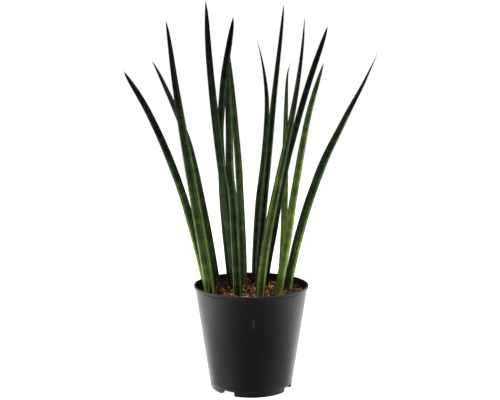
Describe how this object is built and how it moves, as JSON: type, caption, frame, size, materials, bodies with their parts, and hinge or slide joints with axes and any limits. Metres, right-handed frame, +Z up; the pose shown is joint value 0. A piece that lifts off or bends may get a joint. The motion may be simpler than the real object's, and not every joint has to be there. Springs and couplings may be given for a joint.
{
  "type": "cylindrical snake plant",
  "caption": "Potted succulent: pointed cylindrical leaves rising from coir mix in a tapered black nursery pot.",
  "frame": {"origin": "on the pot's axis, on the surface that the pot's foot stands on, under the middle of the plant's box", "axes": "+Z up along the pot's axis, -Y towards the front, +X to the right seen from the front"},
  "size_m": [0.27, 0.16, 0.394],
  "materials": {
    "pot": "satin moulded black polypropylene",
    "soil": "loose coir husk chips and fibres",
    "leaf": "waxy grooved succulent skin, dark green"
  },
  "bodies": {
    "root": {"pot": "pot", "soil": "soil", "leaf_left_outer": "leaf", "leaf_left_back": "leaf", "leaf_left_front": "leaf", "leaf_tall_left": "leaf", "leaf_crossing": "leaf", "leaf_front_left": "leaf", "leaf_middle_back": "leaf", "leaf_back": "leaf", "leaf_tall_right": "leaf", "leaf_front_right": "leaf", "leaf_right_dark": "leaf", "leaf_right_back": "leaf", "leaf_right_short": "leaf", "leaf_right_outer": "leaf"}
  },
  "joints": []
}
